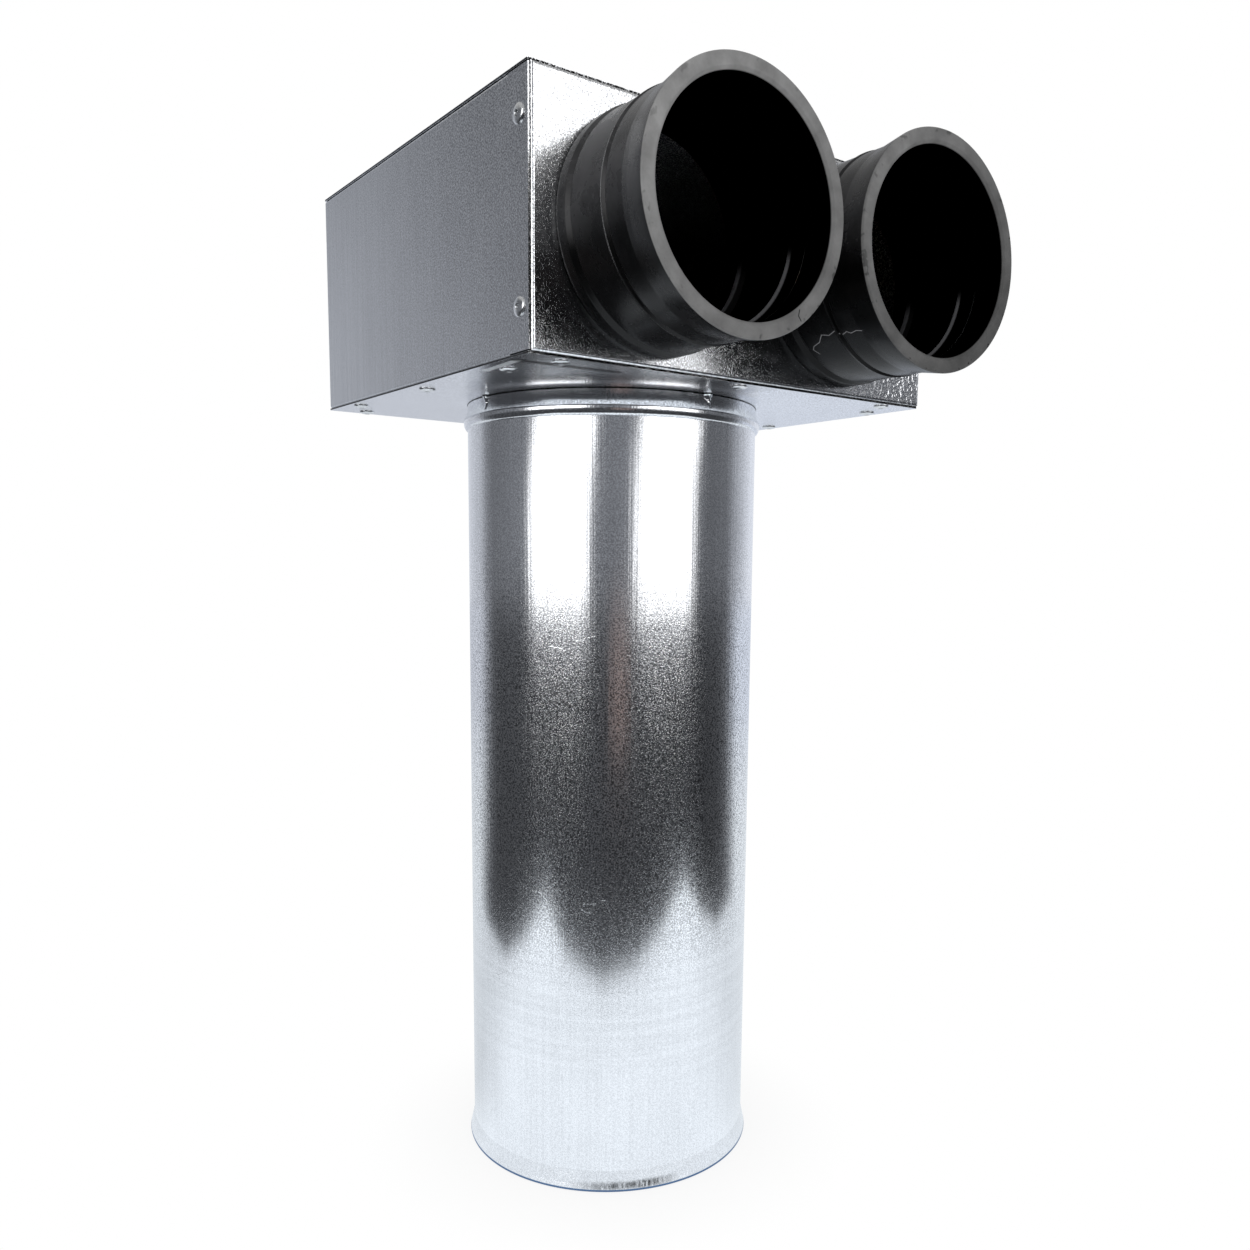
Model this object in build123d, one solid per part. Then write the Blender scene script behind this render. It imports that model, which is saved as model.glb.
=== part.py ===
from build123d import *
import os

# Ventilation distribution box: a folded sheet-steel box on a round neck tube, with two
# moulded duct sockets in its front panel. Sizes are in millimetres. The origin is the
# centre of the neck's open lower end, +Z runs up the neck and the sockets point to -Y.

# Neck tube
NECK_BORE = 125.0
NECK_SHEET = 0.6
NECK_LENGTH = 330.0
LIP_HEIGHT = 6.0
LIP_FLARE = 1.8
COLLAR_HEIGHT = 4.6
BEAD_HEIGHT = 5.5
BEAD_RISE = 1.7
BEAD_CREST = 3.1
TURNOVER_WIDTH = 5.0
TURNOVER_BEND = 1.2
TURNOVER_HEEL = 0.1
NECK_CLEARANCE = 0.2

# Pressed pips that lock the neck against the underside of the bottom plate
PIP_COUNT = 4
PIP_HEIGHT = 4.2
PIP_TOP_RADIUS = 1.9
PIP_TOE_RADIUS = 0.3

# Box
BOX_WIDTH = 193.0
BOX_DEPTH = 174.5
BOX_HEIGHT = 90.0
BOX_SHEET = 0.7
FRONT_TO_NECK = 91.0
BEND_RADIUS = 1.2
EDGE_SETBACK = 0.9
CORNER_RELIEF = 0.5
FLANGE_WIDTH = 13.0
FLANGE_GAP = 0.5
MITRE_GAP = 0.6
CORNER_NOTCH = 2.2
PLATE_CORNER = 0.8

# Duct sockets
SOCKET_PITCH = 93.0
SOCKET_LENGTH = 49.0
SOCKET_RADIUS = 40.2
SOCKET_BORE = 75.2
NECKING_RADIUS = 38.6
BASE_RADIUS = 40.9
BASE_LENGTH = 8.0
BASE_DRAFT = 0.7
BASE_SHOULDER = 2.1
GROOVE_DEPTH = 0.6
GROOVE_WIDTH = 0.8
RIDGE_AT = 26.5
RIDGE_RISE = 0.45
RIDGE_WIDTH = 1.2
MOUTH_AT = 38.4
MOUTH_RADIUS = 42.0
MOUTH_BORE = 72.8
MOUTH_CHAMFER = 0.9
MOUTH_EDGE = 0.4
MOUTH_STEP_AT = 36.6
SEAL_LIP_AT = 29.4
SEAL_LIP_BORE = 70.4
SEAL_LIP_WIDTH = 1.8
STOP_AT = 6.6
STOP_BORE = 69.6
STOP_WIDTH = 2.4
STOP_UNDERCUT = 1.0
INNER_FLANGE_RADIUS = 42.0
INNER_FLANGE_THICKNESS = 2.6
SOCKET_CLEARANCE = 0.1

# Blind rivets
RIVET_SHANK = 3.2
RIVET_HOLE = 3.3
RIVET_HEAD = 6.5
RIVET_HEAD_HEIGHT = 1.1
RIVET_PIT = 1.9
RIVET_PIT_DEPTH = 0.8
RIVET_CROWN = 4.8
RIVET_CROWN_HEIGHT = 0.85
RIVET_BULB = 4.6
RIVET_BULB_LENGTH = 2.8

# Hand-drilled rows of rivets: margin at the first and last rivet, then inset at each
ROW_COUNT = 3
FRONT_ROW = (16.3, 17.2, 7.3, 6.0)
BACK_ROW = (14.7, 16.5, 6.8, 6.8)
LEFT_ROW = (30.6, 23.6, 9.6, 5.2)
RIGHT_ROW = (23.0, 23.6, 7.0, 4.4)
POST_MARGIN = 15.3
POST_INSET = 6.5

# Places worked out from the sizes
NECK_INNER = NECK_BORE / 2
NECK_OUTER = NECK_INNER + NECK_SHEET
Y_FRONT = -FRONT_TO_NECK
Y_BACK = Y_FRONT + BOX_DEPTH
X_SIDE = BOX_WIDTH / 2
Z_UNDER = NECK_LENGTH
Z_LOW = Z_UNDER + BOX_SHEET
Z_HIGH = Z_UNDER + BOX_HEIGHT - BOX_SHEET
Z_TOP = Z_UNDER + BOX_HEIGHT
Z_MIDDLE = Z_UNDER + BOX_HEIGHT / 2
SOCKET_XS = (-SOCKET_PITCH / 2, SOCKET_PITCH / 2)


def block(x0, x1, y0, y1, z0, z1):
    """A box from its lowest to its highest corner."""
    size = Box(x1 - x0, y1 - y0, z1 - z0, align=(Align.MIN, Align.MIN, Align.MIN))
    return Pos(x0, y0, z0) * size


def turned(points):
    """A solid turned about Z from a closed outline of (radius, height) points."""
    outline = make_face(Polyline(*points, close=True))
    return revolve(Plane.XZ * outline, Axis.Z)


def row_places(row, length):
    """Distance along an edge and in from it for each rivet of a row."""
    first, last, inset_first, inset_last = row
    steps = [i / (ROW_COUNT - 1) for i in range(ROW_COUNT)]
    return [
        (first + (length - first - last) * t, inset_first + (inset_last - inset_first) * t)
        for t in steps
    ]


def rivet_seats():
    """Name and placement of each rivet, its head's seat facing along local +Z."""
    seats = []
    places = {
        "front": [(-X_SIDE + a, Y_FRONT + b) for a, b in row_places(FRONT_ROW, BOX_WIDTH)],
        "back": [(-X_SIDE + a, Y_BACK - b) for a, b in row_places(BACK_ROW, BOX_WIDTH)],
        "left": [(-X_SIDE + b, Y_FRONT + a) for a, b in row_places(LEFT_ROW, BOX_DEPTH)],
        "right": [(X_SIDE - b, Y_FRONT + a) for a, b in row_places(RIGHT_ROW, BOX_DEPTH)],
    }
    for level, height, turn in (("bottom", Z_UNDER, 180), ("top", Z_TOP, 0)):
        for row, points in places.items():
            for i, (x, y) in enumerate(points):
                name = f"rivet_{level}_{row}_{i + 1}"
                seats.append((name, Pos(x, y, height) * Rot(turn, 0, 0)))
    for side, x, turn in (("left", -X_SIDE, -90), ("right", X_SIDE, 90)):
        for i, z in enumerate((Z_UNDER + POST_MARGIN, Z_TOP - POST_MARGIN)):
            name = f"rivet_{side}_side_{i + 1}"
            seats.append((name, Pos(x, Y_FRONT + POST_INSET, z) * Rot(0, turn, 0)))
    return seats


def drilled(sheet, seats, keyword):
    """The sheet with a hole for every rivet whose name holds the keyword."""
    drill = Cylinder(RIVET_HOLE / 2, 6 * BOX_SHEET)
    return sheet - [place * drill for name, place in seats if keyword in name]


def blind_rivet():
    """A set blind rivet: domed head with the mandrel's pit, shank and formed bulb."""
    grip = 2 * BOX_SHEET
    tail = -grip - RIVET_BULB_LENGTH
    return turned(
        [
            (0, RIVET_HEAD_HEIGHT - RIVET_PIT_DEPTH),
            (RIVET_PIT / 2, RIVET_HEAD_HEIGHT),
            (RIVET_CROWN / 2, RIVET_CROWN_HEIGHT),
            (RIVET_HEAD / 2, 0),
            (RIVET_SHANK / 2, 0),
            (RIVET_SHANK / 2, -grip),
            (RIVET_BULB / 2, -grip),
            (RIVET_SHANK / 2, tail),
            (0, tail),
        ]
    )


def neck_core(radius, bend, over, pip_inset):
    """Solid inside one face of the neck's sheet: lip, wall, bead and pips, then over the end.

    The points in over carry the outline on from the bend at the upper end to the axis.
    """
    end_height = over[0][1]
    bead_high = Z_UNDER - COLLAR_HEIGHT
    bead_low = bead_high - BEAD_HEIGHT
    lip = Line((radius + LIP_FLARE, 0), (radius, LIP_HEIGHT))
    wall = Line(lip @ 1, (radius, bead_low))
    bead = ThreePointArc(wall @ 1, (radius + BEAD_RISE, bead_low + BEAD_CREST), (radius, bead_high))
    collar = Line(bead @ 1, (radius, end_height - bend))
    turn = JernArc(collar @ 1, (0, 1), bend, -90)
    rest = Polyline(turn @ 1, *over, (0, 0), lip @ 0)
    outline = make_face([lip, wall, bead, collar, turn, rest])
    core = Rot(0, 0, 180 / PIP_COUNT) * revolve(Plane.XZ * outline)
    pip = Cone(
        max(PIP_TOE_RADIUS - pip_inset, 0),
        PIP_TOP_RADIUS - pip_inset,
        PIP_HEIGHT - 2 * pip_inset,
    )
    height = Z_UNDER - PIP_HEIGHT / 2
    return core + [
        Rot(0, 0, 360 / PIP_COUNT * i) * Pos(NECK_OUTER - NECK_SHEET / 2, 0, height) * pip
        for i in range(PIP_COUNT)
    ]


def neck_tube():
    """Rolled tube with a flared lower lip, a swaged bead and a turned-over upper end."""
    rim = NECK_OUTER + TURNOVER_WIDTH
    z_rim = Z_LOW + NECK_SHEET
    outside = neck_core(NECK_OUTER, TURNOVER_HEEL, [(rim, Z_LOW), (rim, z_rim), (0, z_rim)], 0)
    inside = neck_core(NECK_INNER, TURNOVER_BEND, [(0, z_rim)], NECK_SHEET)
    return outside - inside


def cover_plate(z0):
    """Flat cover, flush with the sides and back and set behind the front panel's bend."""
    plate = block(-X_SIDE, X_SIDE, Y_FRONT + EDGE_SETBACK, Y_BACK, z0, z0 + BOX_SHEET)
    return fillet(plate.edges().filter_by(Axis.Z), PLATE_CORNER)


def bottom_plate(seats):
    """Cover plate with the hole that the neck passes through."""
    hole = Pos(0, 0, Z_UNDER) * Cylinder(NECK_OUTER + NECK_CLEARANCE, 4 * BOX_SHEET)
    return drilled(cover_plate(Z_UNDER) - hole, seats, "bottom")


def top_plate(seats):
    """Plain cover plate over the box."""
    return drilled(cover_plate(Z_HIGH), seats, "top")


def wrap_panel(seats):
    """Left side, back and right side folded from one sheet, with turned-in flanges."""
    y_start = Y_FRONT + EDGE_SETBACK
    y_flange = Y_FRONT + FLANGE_WIDTH + FLANGE_GAP
    body = block(-X_SIDE, X_SIDE, y_start, Y_BACK, Z_LOW, Z_HIGH)
    folds = body.faces().sort_by(Axis.Y)[-1].edges() + body.edges().filter_by(Axis.Y)
    body = fillet(folds, BEND_RADIUS)
    body = offset(body, amount=-BOX_SHEET, openings=body.faces().sort_by(Axis.Y)[0])
    reach = X_SIDE - FLANGE_WIDTH
    body -= block(-reach, reach, y_start, Y_BACK - FLANGE_WIDTH, Z_UNDER, Z_TOP)
    body -= block(-X_SIDE, X_SIDE, y_start, y_flange, Z_UNDER, Z_TOP)
    for side in (-1, 1):
        x_wall = side * (X_SIDE - BOX_SHEET / 2)
        wall = Box(BOX_SHEET, y_flange - y_start, Z_HIGH - Z_LOW - 2 * CORNER_RELIEF)
        body += Pos(x_wall, (y_start + y_flange) / 2, Z_MIDDLE) * wall
        slit = Box(2 * FLANGE_WIDTH, MITRE_GAP, 2 * (BEND_RADIUS + MITRE_GAP))
        for z in (Z_LOW, Z_HIGH):
            corner = Pos(side * (X_SIDE - FLANGE_WIDTH / 2), Y_BACK - FLANGE_WIDTH / 2, z)
            body -= corner * Rot(0, 0, 45 * side) * slit
    return drilled(body, seats, "rivet")


def front_panel(seats):
    """Pan with four turned-back flanges and the two socket holes."""
    x_edge = X_SIDE - BOX_SHEET
    body = block(-x_edge, x_edge, Y_FRONT, Y_FRONT + FLANGE_WIDTH, Z_LOW, Z_HIGH)
    body = fillet(body.faces().sort_by(Axis.Y)[0].edges(), BEND_RADIUS)
    body = offset(body, amount=-BOX_SHEET, openings=body.faces().sort_by(Axis.Y)[-1])
    notch = Box(CORNER_NOTCH, FLANGE_WIDTH, CORNER_NOTCH)
    for side in (-1, 1):
        for z, up in ((Z_LOW, 1), (Z_HIGH, -1)):
            x_mid = side * (x_edge - CORNER_NOTCH / 2)
            y_mid = Y_FRONT + BEND_RADIUS + FLANGE_WIDTH / 2
            body -= Pos(x_mid, y_mid, z + up * CORNER_NOTCH / 2) * notch
    hole = Cylinder(NECKING_RADIUS + SOCKET_CLEARANCE, 4 * BOX_SHEET, rotation=(90, 0, 0))
    body -= [Pos(x, Y_FRONT, Z_MIDDLE) * hole for x in SOCKET_XS]
    return drilled(body, seats, "rivet")


def socket_profile():
    """Closed outline of a socket's wall: radius against distance out from the panel."""
    bore = SOCKET_BORE / 2
    mouth_bore = MOUTH_BORE / 2
    seal = SEAL_LIP_BORE / 2
    stop = STOP_BORE / 2
    back = -BOX_SHEET - INNER_FLANGE_THICKNESS
    outside = [
        (INNER_FLANGE_RADIUS, back),
        (INNER_FLANGE_RADIUS, -BOX_SHEET),
        (NECKING_RADIUS, -BOX_SHEET),
        (NECKING_RADIUS, 0),
        (BASE_RADIUS - BASE_DRAFT, 0),
        (BASE_RADIUS, BASE_SHOULDER),
        (BASE_RADIUS, BASE_LENGTH - BASE_SHOULDER),
        (SOCKET_RADIUS - GROOVE_DEPTH, BASE_LENGTH),
        (SOCKET_RADIUS, BASE_LENGTH + GROOVE_WIDTH),
        (SOCKET_RADIUS, RIDGE_AT - RIDGE_WIDTH),
        (SOCKET_RADIUS + RIDGE_RISE, RIDGE_AT),
        (SOCKET_RADIUS - GROOVE_DEPTH, RIDGE_AT + GROOVE_WIDTH),
        (SOCKET_RADIUS, RIDGE_AT + 2 * GROOVE_WIDTH),
        (SOCKET_RADIUS, MOUTH_AT),
        (MOUTH_RADIUS, SOCKET_LENGTH - MOUTH_EDGE),
        (MOUTH_RADIUS - MOUTH_EDGE, SOCKET_LENGTH),
    ]
    inside = [
        (mouth_bore + MOUTH_CHAMFER, SOCKET_LENGTH),
        (mouth_bore, SOCKET_LENGTH - MOUTH_CHAMFER),
        (mouth_bore, MOUTH_STEP_AT),
        (bore, MOUTH_STEP_AT),
        (bore, SEAL_LIP_AT + SEAL_LIP_WIDTH / 2),
        (seal, SEAL_LIP_AT),
        (bore, SEAL_LIP_AT - SEAL_LIP_WIDTH / 2),
        (bore, STOP_AT),
        (stop, STOP_AT),
        (stop, STOP_AT - STOP_WIDTH),
        (stop + STOP_UNDERCUT, STOP_AT - STOP_WIDTH - STOP_UNDERCUT),
        (stop + STOP_UNDERCUT, back),
    ]
    return outside + inside


def duct_socket(x):
    """Moulded rubber socket, snapped into its hole by the necking between two flanges."""
    body = turned(socket_profile())
    return Pos(x, Y_FRONT, Z_MIDDLE) * Rot(90, 0, 0) * body


def build():
    """Every sub-part by its node name."""
    seats = rivet_seats()
    nodes = {
        "neck_tube": neck_tube(),
        "bottom_plate": bottom_plate(seats),
        "top_plate": top_plate(seats),
        "wrap_panel": wrap_panel(seats),
        "front_panel": front_panel(seats),
        "socket_left": duct_socket(SOCKET_XS[0]),
        "socket_right": duct_socket(SOCKET_XS[1]),
    }
    rivet = blind_rivet()
    for name, place in seats:
        nodes[name] = place * rivet
    return nodes


if __name__ == "__main__":
    os.makedirs("parts", exist_ok=True)
    for node, shape in build().items():
        export_step(shape, f"parts/{node}.step")
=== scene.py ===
"""Looks of the ventilation distribution box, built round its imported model.

Units are metres in the model's own frame: the origin is the centre of the neck's open
lower end, +Z runs up the neck and the duct sockets point to -Y.
"""

import math

import bpy
import numpy as np
from mathutils import Matrix, Vector

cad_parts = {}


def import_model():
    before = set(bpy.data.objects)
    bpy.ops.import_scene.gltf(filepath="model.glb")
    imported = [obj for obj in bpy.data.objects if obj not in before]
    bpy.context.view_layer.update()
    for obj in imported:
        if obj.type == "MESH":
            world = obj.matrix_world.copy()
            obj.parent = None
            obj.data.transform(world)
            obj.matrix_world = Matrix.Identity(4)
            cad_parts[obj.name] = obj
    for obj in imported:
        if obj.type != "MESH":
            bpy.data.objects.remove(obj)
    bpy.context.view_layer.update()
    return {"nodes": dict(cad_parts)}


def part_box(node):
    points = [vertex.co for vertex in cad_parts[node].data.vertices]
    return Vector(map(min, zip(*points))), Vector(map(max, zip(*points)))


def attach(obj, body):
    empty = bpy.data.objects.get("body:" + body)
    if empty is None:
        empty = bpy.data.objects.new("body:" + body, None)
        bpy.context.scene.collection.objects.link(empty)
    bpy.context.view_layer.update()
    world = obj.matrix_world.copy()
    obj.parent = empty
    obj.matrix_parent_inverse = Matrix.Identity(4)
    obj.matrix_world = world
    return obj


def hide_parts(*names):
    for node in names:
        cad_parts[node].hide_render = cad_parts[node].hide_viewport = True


MM = 0.001
# Degrees between two faces from which their edge stays sharp
SHARP_ANGLE = 40

# The photograph's camera, from the fit of the object's edges. Angles are in degrees,
# the focal length and the optical centre in pixels of the square photograph.
PHOTO_SIDE = 1250
CAMERA_PLACE = (-0.28413, -0.40434, 0.26172)
CAMERA_YAW = 36.914
CAMERA_PITCH = -7.266
CAMERA_ROLL = 0.573
CAMERA_FOCAL = 1088.79
OPTICAL_CENTRE = (644.74, 705.27)
SENSOR = 36.0

# Neck tube: the lip flares in two slopes, which meet at its turn
LIP_HEIGHT = 8.4 * MM
LIP_TURN_HEIGHT = 2.6 * MM
LIP_TURN_FLARE = 1.18 * MM
LIP_FLARE = 1.8 * MM
# Height of the blue-grey line of painted shadow along the lip's lowest edge
LIP_SHADOW_HEIGHT = 0.85 * MM
NECK_RADIUS = 63.1 * MM
NECK_SHEET = 0.6 * MM
NECK_COLUMNS = 640
NECK_STEP = 25 * MM
# Extra rows beside the lip and the bead keep the plain wall's shading straight
LIP_MARGIN = 2 * MM
BEAD_MARGINS = (4 * MM, 0.5 * MM)
# The bead's foot and crest, as depths under the box
BEAD_FOOT = 10.5 * MM
BEAD_CREST = 6.6 * MM
BEAD_RISE = 1.7 * MM
BEAD_ROUND = 2.4
# One more than a multiple of 3, because the inner wall takes every third row
BEAD_ROWS = 40
PIP_ANGLES = (1, 91, 181, 272)
PIP_HEIGHT = 5.4 * MM
PIP_TOP = 2.0 * MM
PIP_TOE = 0.3 * MM
# Half width of the band of painted shade on the neck just under the box
JOINT_GAP = 0.45 * MM
WELD_ANGLE = 78
WELD_RISE = 0.18 * MM
WELD_WIDTH = 0.9 * MM
# Slack with which a row at the box's underside still counts as under the box
ROW_SLACK = 0.001 * MM

# Box
BOX_SHEET = 0.7 * MM
SKIN_DEPTH = 0.55 * MM

# Duct sockets, as radii and as distances out from the panel
SOCKET_LENGTH = 49.0 * MM
SOCKET_RADIUS = 40.2 * MM
SOCKET_BORE = 37.6 * MM
FLANGE_RADIUS = 42.0 * MM
FLANGE_BACK = -3.3 * MM
NECKING_RADIUS = 38.6 * MM
BASE_RADIUS = 40.9 * MM
GROOVE_RADIUS = 39.6 * MM
MOUTH_RADIUS = 42.0 * MM
MOUTH_BORE = 36.4 * MM
MOUTH_STEP = 36.6 * MM
SEAL_LIP_RADIUS = 35.2 * MM
SEAL_LIP = 29.4 * MM
SEAL_LIP_SLOPE = 1.2 * MM
STOP_RADIUS = 34.8 * MM
STOP_OUT = 6.6 * MM
STOP_BACK = 4.2 * MM
TAIL_BORE = 35.8 * MM
SOCKET_COLUMNS = 256
SOCKET_STEP = 3 * MM
# Radius that parts the bore from the outside, and the lips' crests with half widths
BORE_LIMIT = 38.4 * MM
STOP_MIDDLE = (STOP_OUT + STOP_BACK) / 2
LIP_CRESTS = ((STOP_MIDDLE, 1.4 * MM), (SEAL_LIP, 0.9 * MM), (MOUTH_STEP, 0.5 * MM))

# Rivets: the head is a low dome, and its turn is an angle in radians. The second word of
# a node's name tells which way the head faces.
HEAD_HEIGHT = 1.1 * MM
HEAD_RADIUS = 3.25 * MM
HEAD_EDGE = 0.22 * MM
HEAD_CROWN = 0.88 * MM
HEAD_TURN = 1.45
DOME_START = 1.1 * MM
RIVET_COLUMNS = 40
FACINGS = {"bottom": (0, 0, -1), "top": (0, 0, 1), "left": (-1, 0, 0), "right": (1, 0, 0)}

# Studio: levels are those that polished metal sees
FLOOR_RADIUS = 7.0
FLOOR_SIDES = 96
FLOOR_DROP = 0.4 * MM
WINDOW_LEVEL = 2.4
CEILING_LEVEL = 0.50
FLOOR_GLARE = 8.4
COOL = (0.94, 0.98, 1.07)
WARM_STRIPE = (0.23, 0.18, 0.17)
NEAR_WHITE = (1.02, 1.08, 1.14)
FAR_WHITE_LEFT = (0.60, 0.63, 0.70)
FAR_WHITE_RIGHT = (0.69, 0.74, 0.84)

# Zinc coat: features per metre, and rises in metres
ZINC_TINT = (0.77, 0.78, 0.80)
# Blue-grey of the painted shadow line along the neck's lip
LIP_SHADOW_BLUE = (0.09, 0.15, 0.26)
CLOUD_SCALE = 22
CRYSTAL_SCALE = 2400
SALT_SCALE = 1750
GRAIN_SCALE = 950
RING_SCALE = 420
CRIMP_SCALE = 900
FLAKE_SCALE = 620
TUBE_CRYSTALS = 0.000009
SHEET_CRYSTALS = 0.000014
FRONT_CRYSTALS = 0.000018
SKIN_RISE = 0.000007
TUBE_GRAIN = 0.000036
SHEET_GRAIN = 0.000010
WAVE_RISE = 0.00008
RING_RISE = 0.000006
CRIMP_RISE = 0.00002
FLAKE_RISE = 0.00012
SCRATCH_RISE = 0.000015
SCUFF_RISE = 0.0003
# Heights on the neck over which the salt comes up, the salt fades and the crystals flatten
SALT_COMES = (80 * MM, 160 * MM)
SALT_FADES = (195 * MM, 290 * MM)
CRYSTALS_FLATTEN = (215 * MM, 275 * MM)
RINGS_MIDDLE = 90 * MM
RINGS_REACH = 55 * MM

# Rubber and rivet metal: features per metre, and rises in metres
RUBBER_TINT = (1.0, 1.0, 1.06)
RUBBER_SCRATCH = (0.20, 0.20, 0.21)
RUBBER_CUT = (0.012, 0.012, 0.013)
SMEAR_SCALE = 90
SPECK_SCALE = 900
PIT_SCALE = 260
SMEAR_RISE = 0.00008
SPECK_RISE = 0.000012
HANDLING_SCALE = 1400
HANDLING_RISE = 0.00003


def in_metres(lines):
    """Lines of points in millimetres as (start, end) pairs of neighbours in metres."""
    pairs = []
    for line in lines:
        points = [Vector(point) * MM for point in line]
        pairs += list(zip(points, points[1:]))
    return pairs


# Marks of handling and lines of painted shade, highlight and reflection, in millimetres,
# and their widths in metres
TUBE_SCRATCHES = in_metres([
    [(-61.7, -13.2, 249.4), (-60.2, -18.9, 248.4), (-58.6, -23.5, 248.6)],
    [(-53.7, -33.2, 229.6), (-50.4, -38.0, 228.8), (-49.7, -38.8, 227.5)],
    [(-46.6, -42.5, 232.0), (-45.0, -44.3, 232.0)],
    [(-43.3, -45.9, 233.4), (-40.8, -48.1, 234.1)],
    [(-62.8, -6.0, 213.4), (-62.4, -9.4, 214.4), (-62.0, -11.8, 213.5)],
    [(-57.3, -26.4, 127.8), (-55.8, -29.5, 127.7), (-53.8, -33.0, 124.0)],
    [(-45.0, -44.2, 122.2), (-44.1, -45.1, 121.4), (-42.2, -46.9, 120.9)],
    [(-44.6, -44.7, 124.4), (-40.5, -48.4, 124.9)],
    [(-39.8, -49.0, 126.2), (-37.0, -51.1, 126.5), (-36.3, -51.6, 121.7)],
    [(-62.9, -4.5, 86.6), (-62.7, -6.7, 86.3), (-62.2, -10.7, 88.8)],
])
# Mottled dark painted reflection on the neck's lip
LIP_DARK_REFLECTION = in_metres([
    [(-49.0, -41.9, 2.2), (-39.5, -50.7, 2.2), (-20.8, -60.9, 2.4), (-8.4, -63.7, 2.6)],
])
# Crease on the bottom plate shown only as painted shade
SHADED_CREASES = in_metres([[(-92.9, -76.5, 330), (-80.5, -77.4, 330), (-54.7, -79.1, 330)]])
# Crease on the bottom plate shown as a painted highlight
HIGHLIT_CREASES = in_metres([[(-91.3, -51.8, 330), (-92.4, -76.0, 330)]])
PLATE_SHADE = in_metres([[(-72, -42, 330), (-55, -62, 330), (-25, -80, 330), (8, -84, 330)]])
PLATE_SCUFF = in_metres([[(-61.2, -61.5, 330), (-59.2, -63.7, 330), (-55.3, -63.8, 330)]])
SOCKET_SCRATCHES = in_metres([[
    (23.4, -103.1, 342.1), (21.4, -101.6, 343.6), (20.3, -102.9, 344.5), (19.4, -106.6, 345.3),
    (17.4, -109.5, 347.3), (18.0, -112.7, 346.7), (17.1, -116.3, 347.6), (18.7, -118.6, 346.0),
    (18.0, -121.4, 346.7), (18.7, -122.9, 346.0), (18.3, -125.7, 346.4), (18.6, -128.2, 346.0),
]])
MOUTH_CUT = in_metres([[(-23.8, -140, 346.5), (-24.6, -140, 343.0), (-23.4, -140, 341.6)]])
SCRATCH_WIDTH = 0.5 * MM
LIP_DARK_REFLECTION_WIDTH = 5 * MM
SHADED_CREASE_WIDTH = 7 * MM
HIGHLIT_CREASE_WIDTH = 5 * MM
PLATE_SHADE_WIDTH = 26 * MM
PLATE_SCUFF_WIDTH = 4 * MM
MOUTH_CUT_WIDTH = 0.7 * MM


# Surfaces


def rounded(corners, arc_steps=6):
    """Closed outline from (x, y, radius) corners, each replaced by an arc of its radius.

    At a corner with unit directions a back and b on, the tangent points lie r / tan(half
    the angle between a and b) along them, and the arc's centre lies on their bisector.
    """
    corners = np.array(corners, float)
    points = corners[:, :2]
    made = []
    for i, (corner, radius) in enumerate(zip(points, corners[:, 2])):
        back = points[i - 1] - corner
        on = points[(i + 1) % len(points)] - corner
        back_length, on_length = np.linalg.norm(back), np.linalg.norm(on)
        back, on = back / back_length, on / on_length
        half = math.acos(np.clip(back @ on, -1, 1)) / 2
        if radius <= 0 or half > math.radians(89.5):
            made.append(corner[None])
            continue
        reach = min(radius / math.tan(half), 0.49 * back_length, 0.49 * on_length)
        radius = reach * math.tan(half)
        bisector = (back + on) / np.linalg.norm(back + on)
        centre = corner + bisector * radius / math.sin(half)
        start, end = corner + back * reach - centre, corner + on * reach - centre
        sweep = math.pi - 2 * half
        t = np.linspace(0, 1, arc_steps + 1)[:, None]
        arc = (np.sin((1 - t) * sweep) * start + np.sin(t * sweep) * end) / math.sin(sweep)
        made.append(centre + arc)
    return np.concatenate(made)


def densified(points, step):
    """Closed outline with extra points, evenly spaced on each stretch longer than step."""
    made = []
    for start, end in zip(points, np.roll(points, -1, axis=0)):
        count = max(1, math.ceil(np.linalg.norm(end - start) / step))
        t = np.arange(count)[:, None] / count
        made.append(start + (end - start) * t)
    return np.concatenate(made)


def turned_grid(profile, count):
    """Grid of points: each (radius, height) of the profile turned to count even angles."""
    angles = np.linspace(0, 2 * math.pi, count, endpoint=False)
    radius, height = profile[:, 0, None], profile[:, 1, None]
    return np.stack(
        [radius * np.cos(angles), radius * np.sin(angles), height + 0 * angles], axis=-1
    )


def grid_faces(rows, columns, close_rows):
    """Quads of a grid whose columns close on themselves, and its rows too if asked."""
    last = rows if close_rows else rows - 1
    i, j = np.meshgrid(np.arange(last), np.arange(columns), indexing="ij")
    down, right = (i + 1) % rows, (j + 1) % columns
    quads = [i * columns + j, i * columns + right, down * columns + right, down * columns + j]
    return np.stack(quads, axis=-1).reshape(-1, 4)


def ring_faces(rows, columns):
    """Faces of a solid of revolution whose outline is closed."""
    return grid_faces(rows, columns, True).tolist()


def capped_faces(rows, columns):
    """Faces of a solid of revolution from pole to pole: two fans and the quads between.

    The grid's rows follow the poles' two vertices, which come first in the mesh.
    """
    ring = np.arange(columns)
    following = np.roll(ring, -1)
    first = np.stack([0 * ring, 2 + following, 2 + ring], axis=-1)
    offset = 2 + (rows - 1) * columns
    final = np.stack([0 * ring + 1, offset + ring, offset + following], axis=-1)
    return first.tolist() + (grid_faces(rows, columns, False) + 2).tolist() + final.tolist()


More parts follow.
